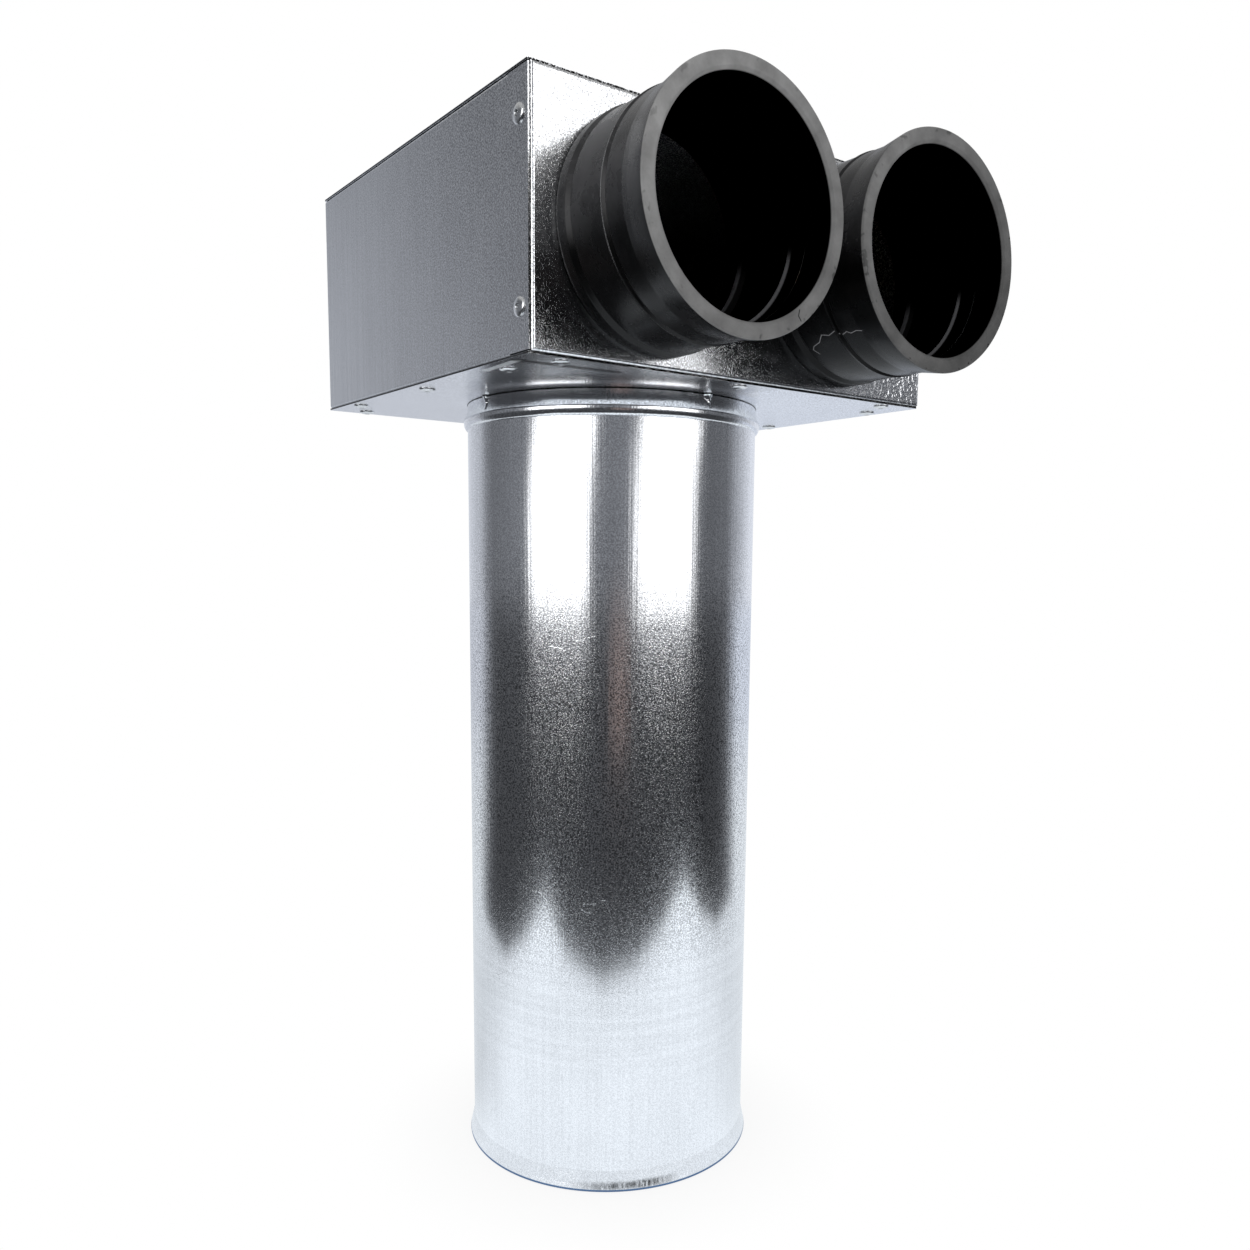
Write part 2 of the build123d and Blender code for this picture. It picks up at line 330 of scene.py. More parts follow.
def piece(name, vertices, faces, coat):
    """A mesh object at the origin, smooth but for its sharp edges."""
    mesh = bpy.data.meshes.new(name)
    mesh.from_pydata(np.asarray(vertices).reshape(-1, 3).tolist(), [], faces)
    mesh.update()
    mesh.shade_smooth()
    mesh.set_sharp_from_angle(angle=math.radians(SHARP_ANGLE))
    mesh.materials.append(coat)
    made = bpy.data.objects.new(name, mesh)
    bpy.context.scene.collection.objects.link(made)
    return made


# Material nodes


def material(name):
    """A new material, its node tree and its shader."""
    made = bpy.data.materials.new(name)
    made.use_nodes = True
    tree = made.node_tree
    return made, tree, tree.nodes["Principled BSDF"]


def node(tree, kind, inputs=None, **settings):
    """Adds a node, sets its properties and fills its inputs with values or sockets."""
    made = tree.nodes.new(kind)
    for key, value in settings.items():
        setattr(made, key, value)
    for key, value in (inputs or {}).items():
        if isinstance(value, bpy.types.NodeSocket):
            tree.links.new(value, made.inputs[key])
        else:
            made.inputs[key].default_value = value
    return made


def object_place(tree):
    """The place on the object."""
    return node(tree, "ShaderNodeTexCoord").outputs["Object"]


def axes(tree, vector):
    """The vector's x, y and z."""
    return node(tree, "ShaderNodeSeparateXYZ", {0: vector}).outputs


def maths(tree, operation, *values):
    """Output of a Math node with these values or sockets."""
    return node(tree, "ShaderNodeMath", dict(enumerate(values)), operation=operation).outputs[0]


def vector_maths(tree, operation, *values):
    """Output of a Vector Math node: a value where it gives one, or else a vector."""
    made = node(tree, "ShaderNodeVectorMath", dict(enumerate(values)), operation=operation)
    return made.outputs["Value" if operation in ("DOT_PRODUCT", "LENGTH") else "Vector"]


def stretched(tree, vector, factor):
    """The vector times the factor."""
    inputs = {0: vector, "Scale": factor}
    return node(tree, "ShaderNodeVectorMath", inputs, operation="SCALE").outputs["Vector"]


def scaled(tree, value, factor):
    """The value times the factor."""
    return maths(tree, "MULTIPLY", value, factor)


def total(tree, *values):
    """Sum of the values or sockets."""
    added = values[0]
    for value in values[1:]:
        added = maths(tree, "ADD", added, value)
    return added


def both(tree, *masks):
    """The product of the masks or levels."""
    joined = masks[0]
    for mask in masks[1:]:
        joined = scaled(tree, joined, mask)
    return joined


def either(tree, *masks):
    """The greatest of the masks."""
    joined = masks[0]
    for mask in masks[1:]:
        joined = maths(tree, "MAXIMUM", joined, mask)
    return joined


def hypotenuse(tree, a, b):
    """The root of a squared plus b squared."""
    squares = total(tree, maths(tree, "POWER", a, 2), maths(tree, "POWER", b, 2))
    return maths(tree, "SQRT", squares)


def ranged(tree, value, low, high, to_low=0.0, to_high=1.0, kind="SMOOTHSTEP"):
    """The value taken smoothly from low..high to to_low..to_high, held at the ends."""
    inputs = {0: value, 1: low, 2: high, 3: to_low, 4: to_high}
    return node(tree, "ShaderNodeMapRange", inputs, interpolation_type=kind, clamp=True).outputs[0]


def varied(tree, noise_value, low, high, kind="SMOOTHSTEP"):
    """A noise's usual values, 0.3 to 0.7, taken to low..high."""
    return ranged(tree, noise_value, 0.3, 0.7, low, high, kind)


def beyond(tree, value, start, full):
    """0 up to start, 1 from full on, which may lie below start."""
    return ranged(tree, value, start, full)


def opposite(tree, mask):
    """1 where the mask is 0, and 0 where it is 1."""
    return ranged(tree, mask, 0, 1, 1, 0)


def near_to(tree, value, middle, half_width):
    """1 close to the middle, 0 from half_width on."""
    distance = maths(tree, "ABSOLUTE", maths(tree, "SUBTRACT", value, middle))
    return ranged(tree, distance, half_width, 0.6 * half_width)


def ramp(tree, value, stops):
    """Colour ramp through (position, grey or colour) stops."""
    made = node(tree, "ShaderNodeValToRGB", {0: value})
    elements = made.color_ramp.elements
    for i, (position, colour) in enumerate(stops):
        if np.ndim(colour) == 0:
            colour = (colour,) * 3
        element = elements[i] if i < 2 else elements.new(position)
        element.position = position
        element.color = (*colour, 1)
    return made.outputs[0]


def noise(tree, vector, scale, detail=2.0, roughness=0.5, stretch=(1, 1, 1)):
    """Value of a noise on the vector, drawn out along the axes with a small stretch."""
    mapped = node(tree, "ShaderNodeMapping", {"Vector": vector, "Scale": stretch}).outputs[0]
    inputs = {"Vector": mapped, "Scale": scale, "Detail": detail, "Roughness": roughness}
    return node(tree, "ShaderNodeTexNoise", inputs).outputs[0]


def mixed(tree, factor, a, b, blend="MIX"):
    """Colour mix of a and b."""
    made = node(tree, "ShaderNodeMix", data_type="RGBA", blend_type=blend)
    for key, value in ((0, factor), (6, a), (7, b)):
        if isinstance(value, bpy.types.NodeSocket):
            tree.links.new(value, made.inputs[key])
        elif key == 0:
            made.inputs[key].default_value = value
        else:
            made.inputs[key].default_value = (*value, 1)
    return made.outputs[2]


def tinted(tree, tint, shade):
    """The tint made lighter or darker by the shade."""
    return mixed(tree, 1.0, tint, shade, "MULTIPLY")


def stroke(tree, place, start, end, width):
    """1 on the straight line from start to end, fading to 0 at half the width from it.

    The nearest point of the line is start + t (end - start), with t the place's share of
    the way along the line, held between 0 and 1.
    """
    along = end - start
    from_start = vector_maths(tree, "SUBTRACT", place, start)
    share = vector_maths(tree, "DOT_PRODUCT", from_start, along / along.length_squared)
    share = maths(tree, "MINIMUM", maths(tree, "MAXIMUM", share, 0), 1)
    nearest = stretched(tree, along, share)
    distance = vector_maths(tree, "LENGTH", vector_maths(tree, "SUBTRACT", from_start, nearest))
    return ranged(tree, distance, width / 2, width / 8)


def strokes(tree, place, lines, width):
    """1 on any of the (start, end) lines."""
    return either(tree, *[stroke(tree, place, start, end, width) for start, end in lines])


def finish(tree, shader, colour, roughness, relief):
    """Links a colour, a roughness and a relief in metres to the shader."""
    tree.links.new(colour, shader.inputs["Base Color"])
    tree.links.new(roughness, shader.inputs["Roughness"])
    bump = node(tree, "ShaderNodeBump", {"Height": relief, "Strength": 1.0, "Distance": 1.0})
    tree.links.new(bump.outputs[0], shader.inputs["Normal"])


# Materials


def zinc_coat(tree, place, rough, crystal_rise, grain_rise, salt):
    """Shade, roughness and relief of bright zinc: soft clouds, fine crystals, drawn grain.

    The crystals stand up in the relief, and the salt is how much the shade varies from
    one to the next. The grain runs along Z.
    """
    clouds = noise(tree, place, CLOUD_SCALE, 3)
    skin = noise(tree, place, CRYSTAL_SCALE, 1, 0.55)
    crystals = ranged(tree, skin, 0.54, 0.70)
    crystal_shade = noise(tree, place, SALT_SCALE, 0)
    grain = noise(tree, place, GRAIN_SCALE, 1, 0.6, (1, 1, 0.012))
    wave = noise(tree, place, CLOUD_SCALE, 1)
    shade = total(
        tree,
        varied(tree, clouds, 0.97, 1.03),
        scaled(tree, varied(tree, crystal_shade, -1.0, 1.0, "LINEAR"), salt),
        varied(tree, grain, -0.03, 0.03),
    )
    roughness = total(tree, varied(tree, clouds, -0.015, 0.02), rough)
    relief = total(
        tree,
        scaled(tree, crystals, crystal_rise),
        scaled(tree, skin, SKIN_RISE),
        scaled(tree, grain, grain_rise),
        scaled(tree, wave, WAVE_RISE),
    )
    return shade, roughness, relief


def galvanised_tube(box_underside):
    """The neck's zinc, whose crystals show most at half height.

    It has faint rolled rings low down, scratches, and a crimped lip with a mottled dark
    painted reflection. A blue-grey line of painted shadow runs along the lip's lowest edge,
    and a band of painted shade lies where the tube enters the box.
    """
    made, tree, shader = material("galvanised_tube")
    shader.inputs["Metallic"].default_value = 1.0
    place = object_place(tree)
    x, y, z = axes(tree, place)
    radius = hypotenuse(tree, x, y)
    outside = beyond(tree, radius, NECK_RADIUS - 0.4 * MM, NECK_RADIUS - 0.2 * MM)
    salt = both(
        tree, ranged(tree, z, *SALT_COMES, 0.10, 0.72), ranged(tree, z, *SALT_FADES, 1.0, 0.25)
    )
    crystal_rise = ranged(tree, z, *CRYSTALS_FLATTEN, TUBE_CRYSTALS, 0.15 * TUBE_CRYSTALS)
    shade, roughness, relief = zinc_coat(tree, place, 0.12, crystal_rise, TUBE_GRAIN, salt)
    rings = noise(tree, place, RING_SCALE, 3, 0.6, (0.03, 0.03, 1))
    ring_shade = ranged(tree, rings, 0.35, 0.65, -0.035, 0.035)
    scratches = strokes(tree, place, TUBE_SCRATCHES, SCRATCH_WIDTH)
    lip = beyond(tree, z, LIP_TURN_HEIGHT + MM, 0.5 * LIP_TURN_HEIGHT)
    crimps = noise(tree, place, CRIMP_SCALE, 3, 0.7, (1, 1, 0.25))
    # Painted shade on the neck in the gap just under the box
    painted_joint_shade = both(tree, outside, near_to(tree, z, box_underside, JOINT_GAP))
    # Painted shadow: a blue-grey line along the lip's lowest edge, where it meets the floor
    edge = beyond(tree, z, LIP_SHADOW_HEIGHT * 1.15, LIP_SHADOW_HEIGHT * 0.85)
    # Painted reflection: a mottled dark area on the lip
    dark_reflection = both(
        tree,
        strokes(tree, place, LIP_DARK_REFLECTION, LIP_DARK_REFLECTION_WIDTH),
        ranged(tree, crimps, 0.24, 0.54),
        beyond(tree, x, -54 * MM, -30 * MM),
        beyond(tree, x, -4 * MM, -22 * MM),
    )
    lip_zone = beyond(tree, z, LIP_HEIGHT + 0.2 * MM, LIP_HEIGHT - 0.2 * MM)
    shade = total(
        tree,
        shade,
        scaled(tree, painted_joint_shade, -0.93),
        scaled(tree, dark_reflection, -0.75),
        scaled(tree, both(tree, outside, lip_zone), -0.07),
        both(tree, ring_shade, near_to(tree, z, RINGS_MIDDLE, RINGS_REACH)),
    )
    roughness = total(tree, roughness, scaled(tree, scratches, 0.12), scaled(tree, lip, 0.1))
    relief = total(
        tree,
        relief,
        scaled(tree, rings, RING_RISE),
        scaled(tree, scratches, SCRATCH_RISE),
        scaled(tree, both(tree, lip, crimps), CRIMP_RISE),
    )
    colour = mixed(tree, edge, tinted(tree, ZINC_TINT, shade), LIP_SHADOW_BLUE)
    finish(tree, shader, colour, roughness, relief)
    return made


def inside_box(tree, place, box_low, box_high):
    """1 deeper in the box than the outer skin of its sheet."""
    middle = (box_low + box_high) / 2
    half = (box_high - box_low) / 2 - Vector((1, 1, 1)) * SKIN_DEPTH
    offset = vector_maths(tree, "ABSOLUTE", vector_maths(tree, "SUBTRACT", place, middle))
    shares = axes(tree, vector_maths(tree, "DIVIDE", offset, half))
    return beyond(tree, either(tree, *shares), 1.001, 0.999)


def galvanised_sheet(box_low, box_high):
    """The box's zinc, with crystals that fade to the back and stand higher in front.

    The front has a few flakes on the right. The bottom plate has a crease of painted shade,
    a crease of painted highlight, a scuff and a band of painted shade. Painted shade also
    darkens the plates' edges and the inside.
    """
    made, tree, shader = material("galvanised_sheet")
    shader.inputs["Metallic"].default_value = 1.0
    place = object_place(tree)
    x, y, z = axes(tree, place)
    inside = inside_box(tree, place, box_low, box_high)
    in_front = beyond(tree, y, box_low.y + 1.2 * MM, box_low.y + 0.8 * MM)
    crystal_rise = ranged(tree, in_front, 0, 1, SHEET_CRYSTALS, FRONT_CRYSTALS)
    salt = both(
        tree,
        ranged(tree, y, box_low.y, box_high.y, 0.42, 0.05),
        ranged(tree, z, box_low.z, box_high.z, 0.5, 1.0),
    )
    shade, roughness, relief = zinc_coat(tree, place, 0.15, crystal_rise, SHEET_GRAIN, salt)
    flaked = both(tree, in_front, beyond(tree, x, 60 * MM, 84 * MM))
    flakes = both(tree, flaked, ranged(tree, noise(tree, place, FLAKE_SCALE, 1), 0.5, 0.7))
    # Painted shade along the plates' edges at the box's bottom and top
    seam_shade = either(
        tree,
        near_to(tree, z, box_low.z + 0.5 * BOX_SHEET, 0.5 * BOX_SHEET),
        near_to(tree, z, box_high.z - 0.5 * BOX_SHEET, 0.5 * BOX_SHEET),
    )
    # A crease shown only as painted shade
    shaded_crease = strokes(tree, place, SHADED_CREASES, SHADED_CREASE_WIDTH)
    # A crease shown as a painted highlight, and rougher
    highlit_crease = strokes(tree, place, HIGHLIT_CREASES, HIGHLIT_CREASE_WIDTH)
    scuff = strokes(tree, place, PLATE_SCUFF, PLATE_SCUFF_WIDTH)
    shaded = strokes(tree, place, PLATE_SHADE, PLATE_SHADE_WIDTH)
    # Painted shade: the shaded band, the dark crease, the box's inside and the plates' edges
    darkened = either(
        tree,
        scaled(tree, shaded, 0.2),
        scaled(tree, either(tree, shaded_crease, inside, seam_shade), 0.95),
    )
    roughness = total(
        tree,
        roughness,
        scaled(tree, highlit_crease, 0.3),
        scaled(tree, scuff, 0.3),
        scaled(tree, inside, 0.3),
        scaled(tree, in_front, 0.02),
    )
    relief = total(tree, relief, scaled(tree, scuff, SCUFF_RISE), scaled(tree, flakes, FLAKE_RISE))
    shade = total(tree, shade, scaled(tree, darkened, -1.0), scaled(tree, highlit_crease, 0.3))
    finish(tree, shader, tinted(tree, ZINC_TINT, shade), roughness, relief)
    return made


def rubber_face(tree, place, x, up, radius, smears):
    """Grey of a socket's cut mouth face, paler to the top and left by painted light, with dark
    pits.
    """
    pits = ranged(tree, noise(tree, place, PIT_SCALE, 2, 0.6), 0.60, 0.68)
    pits = both(tree, pits, beyond(tree, radius, 39.6 * MM, 41 * MM))
    # Painted light: paler to the top and to the left
    light = both(
        tree,
        ranged(tree, up, -36 * MM, 36 * MM, 1.0, 1.6),
        ranged(tree, x, -85 * MM, 85 * MM, 1.45, 0.60, "LINEAR"),
    )
    light = total(tree, light, scaled(tree, pits, -0.6))
    grey = ramp(tree, smears, [(0.3, 0.085), (0.5, 0.115), (0.7, 0.150)])
    return tinted(tree, grey, light)


def rubber(centre_x, centre_z, mouth_y):
    """Satin black moulded rubber for both sockets, which lie alike on each side of X = 0.

    It is greyer on the cut mouth face. Painted light makes it paler on top, painted shade
    makes the right socket darker and the bore black, and the lower right of its lips'
    crests carries painted highlights.
    """
    made, tree, shader = material("socket_rubber")
    place = object_place(tree)
    x, y, z = axes(tree, place)
    across = total(tree, x, scaled(tree, maths(tree, "SIGN", x), -abs(centre_x)))
    up = total(tree, z, -centre_z)
    radius = hypotenuse(tree, across, up)
    face = beyond(tree, y, mouth_y + 1.1 * MM, mouth_y + 0.6 * MM)
    crests = either(tree, *[
        near_to(tree, y, mouth_y + SOCKET_LENGTH - out, half_width)
        for out, half_width in LIP_CRESTS
    ])
    inner = beyond(tree, radius, BORE_LIMIT, BORE_LIMIT - 0.4 * MM)
    lower_right = [beyond(tree, across, 4 * MM, 14 * MM), beyond(tree, up, -2 * MM, -12 * MM)]
    # Painted highlights on the lips' crests at the lower right of the bore
    lit = both(tree, inner, crests, *lower_right)
    # Painted shade: the rest of the bore is painted black
    bore = both(tree, inner, opposite(tree, either(tree, face, lit)))
    smears = noise(tree, place, SMEAR_SCALE, 4, 0.6)
    specks = noise(tree, place, SPECK_SCALE, 2, 0.6)
    scratches = strokes(tree, place, SOCKET_SCRATCHES, SCRATCH_WIDTH)
    cut = strokes(tree, place, MOUTH_CUT, MOUTH_CUT_WIDTH)
    # Painted light: the rubber is paler on top; painted shade makes the right socket darker
    painted_top_light = ranged(tree, up, -14 * MM, 4 * MM, 0.0, 0.027)
    grey_with_painted_light = both(
        tree,
        total(tree, 0.0012, both(tree, painted_top_light, beyond(tree, radius, 38.8 * MM, 39.2 * MM))),
        varied(tree, smears, 0.6, 1.4),
        ranged(tree, x, -15 * MM, 15 * MM, 1.0, 0.6),
    )
    # The painted highlights on those crests are added to the grey
    grey_with_painted_light = total(tree, grey_with_painted_light, scaled(tree, lit, 0.09))
    mouth_face = rubber_face(tree, place, x, up, radius, smears)
    colour = mixed(tree, bore, tinted(tree, RUBBER_TINT, grey_with_painted_light), (0.0, 0.0, 0.0))
    colour = mixed(tree, face, colour, mouth_face)
    colour = mixed(tree, scratches, colour, RUBBER_SCRATCH)
    colour = mixed(tree, cut, colour, RUBBER_CUT)
    roughness = total(tree, varied(tree, smears, 0.22, 0.31), scaled(tree, face, 0.3))
    # The bore, painted black as shade, has no specular reflection either
    gloss = both(tree, opposite(tree, bore), ranged(tree, x, -15 * MM, 15 * MM, 0.25, 0.14))
    tree.links.new(gloss, shader.inputs["Specular IOR Level"])
    relief = total(tree, scaled(tree, specks, SPECK_RISE), scaled(tree, smears, SMEAR_RISE))
    finish(tree, shader, colour, roughness, relief)
    return made


def rivet_metal(box_low, box_high):
    """Semi-gloss aluminium with faint handling marks, rougher inside the box and painted dark
    there as shade.
    """
    made, tree, shader = material("rivet_metal")
    shader.inputs["Metallic"].default_value = 1.0
    place = object_place(tree)
    marks = noise(tree, place, HANDLING_SCALE, 3, 0.6)
    colour = ramp(tree, marks, [(0.3, (0.60, 0.61, 0.62)), (0.7, (0.86, 0.87, 0.88))])
    inside = inside_box(tree, place, box_low, box_high)
    # Painted shade: the rivets are dark inside the box
    colour = mixed(tree, inside, colour, (0.02, 0.02, 0.02))
    roughness = total(tree, varied(tree, marks, 0.12, 0.24), scaled(tree, inside, 0.4))
    finish(tree, shader, colour, roughness, scaled(tree, marks, HANDLING_RISE))
    return made


# Pieces


def bead_points(box_underside):
    """The bead's (rise, height) points from its foot up to the box.

    Under its crest it is a rounded quarter, (1 - t^n)^(1/n) of its rise, and above it
    falls off as (1 - t)^3, with t going from 0 at the crest to 1 at the end.
    """
    height = np.linspace(box_underside - BEAD_FOOT, box_underside, BEAD_ROWS)
    crest = box_underside - BEAD_CREST
    below = np.clip((crest - height) / (BEAD_FOOT - BEAD_CREST), 0, 1)
    above = np.clip((height - crest) / BEAD_CREST, 0, 1)
    rise = BEAD_RISE * (1 - below**BEAD_ROUND) ** (1 / BEAD_ROUND) * (1 - above) ** 3
    return list(zip(rise, height))


def neck_outline(box_underside, rim_top, rim_radius):
    """Closed outline of the neck's sheet as (radius, height): up outside, down inside."""
    inner = NECK_RADIUS - NECK_SHEET
    turn = rim_top - NECK_SHEET
    bead = bead_points(box_underside)
    bead_foot = box_underside - BEAD_FOOT
    corners = [
        (NECK_RADIUS + LIP_FLARE, 0, 0.15 * MM),
        (NECK_RADIUS + LIP_TURN_FLARE, LIP_TURN_HEIGHT, 6 * MM),
        (NECK_RADIUS, LIP_HEIGHT, 0.4 * MM),
        (NECK_RADIUS, LIP_HEIGHT + LIP_MARGIN, 0),
        *[(NECK_RADIUS, bead_foot - margin, 0) for margin in BEAD_MARGINS],
        *[(NECK_RADIUS + rise, height, 0) for rise, height in bead],
        (NECK_RADIUS, turn, 0.12 * MM),
        (rim_radius, turn, 0.2 * MM),
        (rim_radius, rim_top, 0.2 * MM),
        (inner, rim_top, 0.9 * MM),
        *[(inner + rise, height, 0) for rise, height in bead[::-3]],
        (inner, LIP_HEIGHT, 0.4 * MM),
        (inner + LIP_TURN_FLARE, LIP_TURN_HEIGHT, 6 * MM),
        (inner + LIP_FLARE, 0, 0.15 * MM),
    ]
    return densified(rounded(corners), NECK_STEP)


def round_the_neck(degrees):
    """Distance of each column of the neck's grid round the tube from that angle."""
    columns = np.linspace(0, 360, NECK_COLUMNS, endpoint=False)
    return np.radians((columns - degrees + 180) % 360 - 180) * NECK_RADIUS


def neck_surface(box_underside, rim_top, rim_radius):
    """Neck tube: its outline turned about Z, with pips and a weld pressed in.

    A pip adds sqrt(w^2 - s^2) to the radius of both walls, where w grows with the square
    of the height and s is the distance round the tube from its middle. The weld adds a
    low bell, exp(-(s / width)^2), to the outer wall.
    """
    outline = neck_outline(box_underside, rim_top, rim_radius)
    grid = turned_grid(outline, NECK_COLUMNS)
    radius, height = outline[:, 0, None], outline[:, 1, None] - ROW_SLACK
    under_box = height < box_underside
    outer = under_box & (radius > NECK_RADIUS - NECK_SHEET / 2)
    share = np.clip((height - (box_underside - PIP_HEIGHT)) / PIP_HEIGHT, 0, 1)
    width = (PIP_TOE + (PIP_TOP - PIP_TOE) * share**2) * (share > 0) * under_box
    pips = [np.sqrt(np.clip(width**2 - round_the_neck(pip) ** 2, 0, None)) for pip in PIP_ANGLES]
    weld = WELD_RISE * np.exp(-((round_the_neck(WELD_ANGLE) / WELD_WIDTH) ** 2)) * outer
    grid[..., :2] *= (1 + (np.max(pips, axis=0) + weld) / radius)[..., None]
    return grid


def socket_outline():
    """Closed outline of a socket's wall: radius against distance out from the panel."""
    corners = [
        # Flange behind the panel, and the necking that the panel's hole holds
        (FLANGE_RADIUS, FLANGE_BACK, 0.4 * MM),
        (FLANGE_RADIUS, -BOX_SHEET, 0.1 * MM),
        (NECKING_RADIUS, -BOX_SHEET, 0.1 * MM),
        (NECKING_RADIUS, 0, 0.1 * MM),
        # Base with its shoulder
        (BASE_RADIUS - 0.6 * MM, 0, 0.5 * MM),
        (BASE_RADIUS, 1.8 * MM, 1.2 * MM),
        (BASE_RADIUS, 6.0 * MM, 1.2 * MM),
        (GROOVE_RADIUS, 8.0 * MM, 0.3 * MM),
        (SOCKET_RADIUS, 8.8 * MM, 0.5 * MM),
        # Ridge and groove round the middle
        (SOCKET_RADIUS, 25.2 * MM, 0.4 * MM),
        (SOCKET_RADIUS + 0.45 * MM, 26.4 * MM, 0.3 * MM),
        (GROOVE_RADIUS, 27.3 * MM, 0.25 * MM),
        (SOCKET_RADIUS, 28.1 * MM, 0.5 * MM),
        # Flared mouth
        (SOCKET_RADIUS, 36.5 * MM, 3.0 * MM),
        (SOCKET_RADIUS + 0.4 * MM, 39.5 * MM, 6.0 * MM),
        (MOUTH_RADIUS, SOCKET_LENGTH - 0.8 * MM, 0.6 * MM),
        (MOUTH_RADIUS - 0.4 * MM, SOCKET_LENGTH, 0.5 * MM),
        (SOCKET_BORE, SOCKET_LENGTH, 0.8 * MM),
        (MOUTH_BORE, SOCKET_LENGTH - 0.9 * MM, 0.8 * MM),
        (MOUTH_BORE, MOUTH_STEP, 0.4 * MM),
        (SOCKET_BORE, MOUTH_STEP, 0.3 * MM),
        # Seal lip
        (SOCKET_BORE, SEAL_LIP + SEAL_LIP_SLOPE, 0.4 * MM),
        (SEAL_LIP_RADIUS, SEAL_LIP, 0.35 * MM),
        (SOCKET_BORE, SEAL_LIP - SEAL_LIP_SLOPE, 0.4 * MM),
        # Duct stop and the bore behind it
        (SOCKET_BORE, STOP_OUT, 0.4 * MM),
        (STOP_RADIUS, STOP_OUT, 0.4 * MM),
        (STOP_RADIUS, STOP_BACK, 0.4 * MM),
        (TAIL_BORE, STOP_BACK - 1.0 * MM, 0.4 * MM),
        (TAIL_BORE, FLANGE_BACK, 0.3 * MM),
    ]
    return densified(rounded(corners, 5), SOCKET_STEP)


def socket_surface(centre_x, panel_y, centre_z):
    """A socket: its outline turned about its own axis, which points to -Y."""
    grid = turned_grid(socket_outline(), SOCKET_COLUMNS)
    x, z, out = grid[..., 0], grid[..., 1], grid[..., 2]
    return np.stack([centre_x + x, panel_y - out, centre_z + z], axis=-1)


def rivet_outline():
    """Half section of a set blind rivet as (radius, height over its seat).

    It runs from the broken mandrel in the head's pit, over the head's dome and down the
    shank to the blind end. The dome's radius goes with the sine of its turn, and its
    height with the cosine.
    """
    pit = [
        (0.001, 0.62), (0.55, 0.6), (0.72, 0.45), (0.8, 0.2), (0.95, 0.2), (1.0, 0.98),
        (1.12, 1.06),
    ]
    turn = np.linspace(0.12, 1.0, 9) * HEAD_TURN
    radius = HEAD_RADIUS * np.sin(turn) / math.sin(HEAD_TURN)
    dome = np.stack([radius, HEAD_EDGE + HEAD_CROWN * np.cos(turn)], axis=-1)
    shank = [
        (3.22, 0), (1.6, 0), (1.6, -1.4), (2.3, -1.45), (2.3, -2.6), (1.5, -4.2), (0.001, -4.2),
    ]
    return np.concatenate([np.array(pit) * MM, dome[radius > DOME_START], np.array(shank) * MM])


def rivet_surface(seat, outward):
    """A rivet's rings: its outline turned about the outward direction, square to Y."""
    side = np.array([0.0, 1.0, 0.0])
    across = np.cross(side, outward)
    grid = turned_grid(rivet_outline(), RIVET_COLUMNS)
    turned = grid[..., 0, None] * side + grid[..., 1, None] * across
    return np.array(seat) + turned + grid[..., 2, None] * np.array(outward)


def rivet_seat(name):
    """A rivet's seat, a head's height in from its outermost point, and the way it faces."""
    low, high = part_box(name)
    outward = Vector(FACINGS[name.split("_")[1]])
    reach = abs((high - low).dot(outward)) / 2 - HEAD_HEIGHT
    return (low + high) / 2 + outward * reach, outward


def dress(obj, coat):
    """Gives a carried-over node its material."""
    obj.data.materials.clear()
    obj.data.materials.append(coat)


def add_neck(coat, box_underside):
    """The neck tube in place of its node."""
    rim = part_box("neck_tube")[1]
    grid = neck_surface(box_underside, rim.z, rim.x)
    neck = piece("neck", grid, ring_faces(*grid.shape[:2]), coat)
    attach(neck, "root")
    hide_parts("neck_tube")


def add_socket(side, coat, panel_y):
    """The left or right duct socket in place of its node."""
    low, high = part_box(f"socket_{side}")
    centre = (low + high) / 2
    grid = socket_surface(centre.x, panel_y, centre.z)
    socket = piece(f"duct_socket_{side}", grid, ring_faces(*grid.shape[:2]), coat)
    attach(socket, "root")
    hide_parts(f"socket_{side}")


def add_rivet(name, coat):
    """A blind rivet in place of its node."""
    rings = rivet_surface(*rivet_seat(name))
    poles = np.stack([rings[0].mean(axis=0), rings[-1].mean(axis=0)])
    vertices = np.concatenate([poles, rings.reshape(-1, 3)])
    rivet = piece(f"blind_{name}", vertices, capped_faces(*rings.shape[:2]), coat)
    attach(rivet, "root")
    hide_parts(name)


# Studio


def round_ramp(tree, turn, stops):
    """Ramp through (degrees, grey) stops, with 0 towards the camera and plus to its right."""
    return ramp(tree, turn, [(degrees / 360 + 0.5, grey) for degrees, grey in stops])


def bearing(tree, vector):
    """The vector's turn round the object, as a place on a round ramp and in degrees."""
    yaw = math.radians(CAMERA_YAW)
    side = vector_maths(tree, "DOT_PRODUCT", vector, (math.cos(yaw), -math.sin(yaw), 0))
    ahead = vector_maths(tree, "DOT_PRODUCT", vector, (-math.sin(yaw), -math.cos(yaw), 0))
    degrees = scaled(tree, maths(tree, "ARCTAN2", side, ahead), 180 / math.pi)
    return total(tree, scaled(tree, degrees, 1 / 360), 0.5), degrees


def walls(tree, turn):
    """Level of the dark room's walls round the object, paler behind it."""
    return round_ramp(tree, turn, [
        (-180, 0.74), (-146, 0.59), (-128, 0.50), (-121, 0.42), (-117, 0.27), (-112, 0.20),
        (-103, 0.15), (-84, 0.18), (-60, 0.22), (-14, 0.21), (2, 0.18), (14, 0.21),
        (76, 0.14), (86, 0.125), (96, 0.14), (106, 0.155), (112, 0.28), (124, 0.45),
        (146, 0.74), (180, 0.74),
    ])


